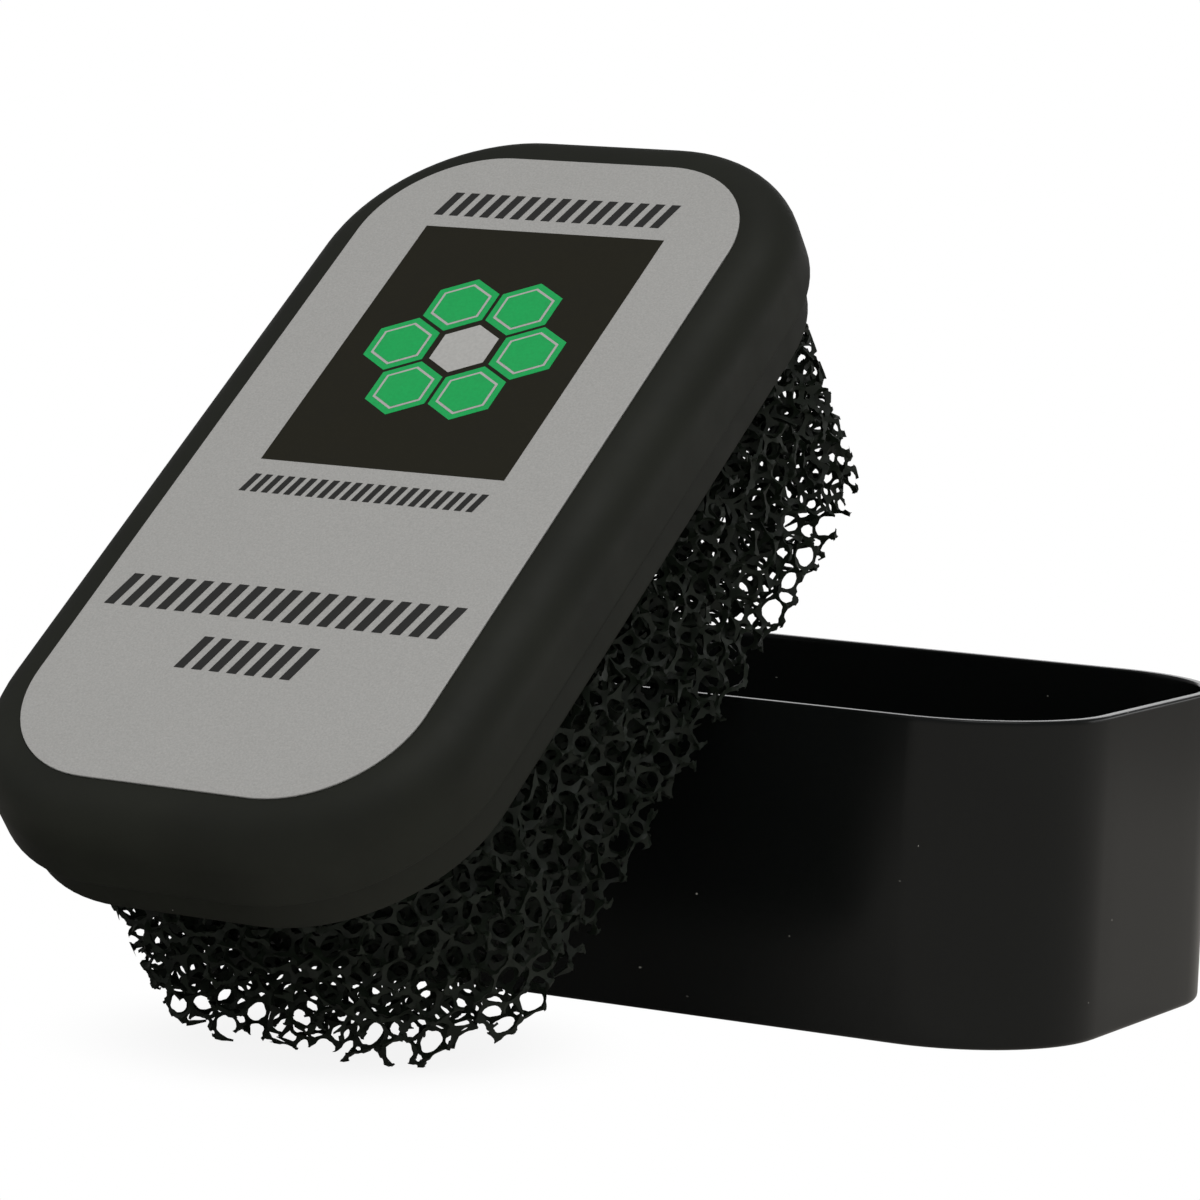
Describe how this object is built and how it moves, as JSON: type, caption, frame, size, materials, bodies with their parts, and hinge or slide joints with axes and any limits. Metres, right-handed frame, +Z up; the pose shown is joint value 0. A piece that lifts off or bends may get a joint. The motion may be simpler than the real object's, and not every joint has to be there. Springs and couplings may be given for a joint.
{
  "type": "suede brush",
  "caption": "Pocket suede brush: a coarse open-cell foam block glued in a hollow moulded handle that closes onto a thin-walled case.",
  "frame": {"origin": "centre of the case's flat bottom, which stands on the surface", "axes": "+Z up, X along the case's long side, Y across it; the brush leans on the case's -Y rim and rises towards +Y"},
  "size_m": [0.085, 0.0988, 0.071],
  "materials": {
    "case_plastic": "black moulded polystyrene, smooth satin with a soft gloss",
    "handle_plastic": "black-olive moulded plastic, fine satin",
    "label_film": "silver-grey printed self-adhesive film, satin",
    "glue": "dried contact adhesive",
    "foam": "black reticulated polyurethane foam, coarse open cells"
  },
  "bodies": {
    "case": {"case": "case_plastic"},
    "brush": {"handle": "handle_plastic", "label": "label_film", "glue_layer": "glue", "foam_block": "foam"}
  },
  "joints": [
    {"name": "brush_lift", "type": "slide", "parent": "case", "child": "brush", "axis": [0, 0, 1], "range_m": [0, 0.08]}
  ]
}
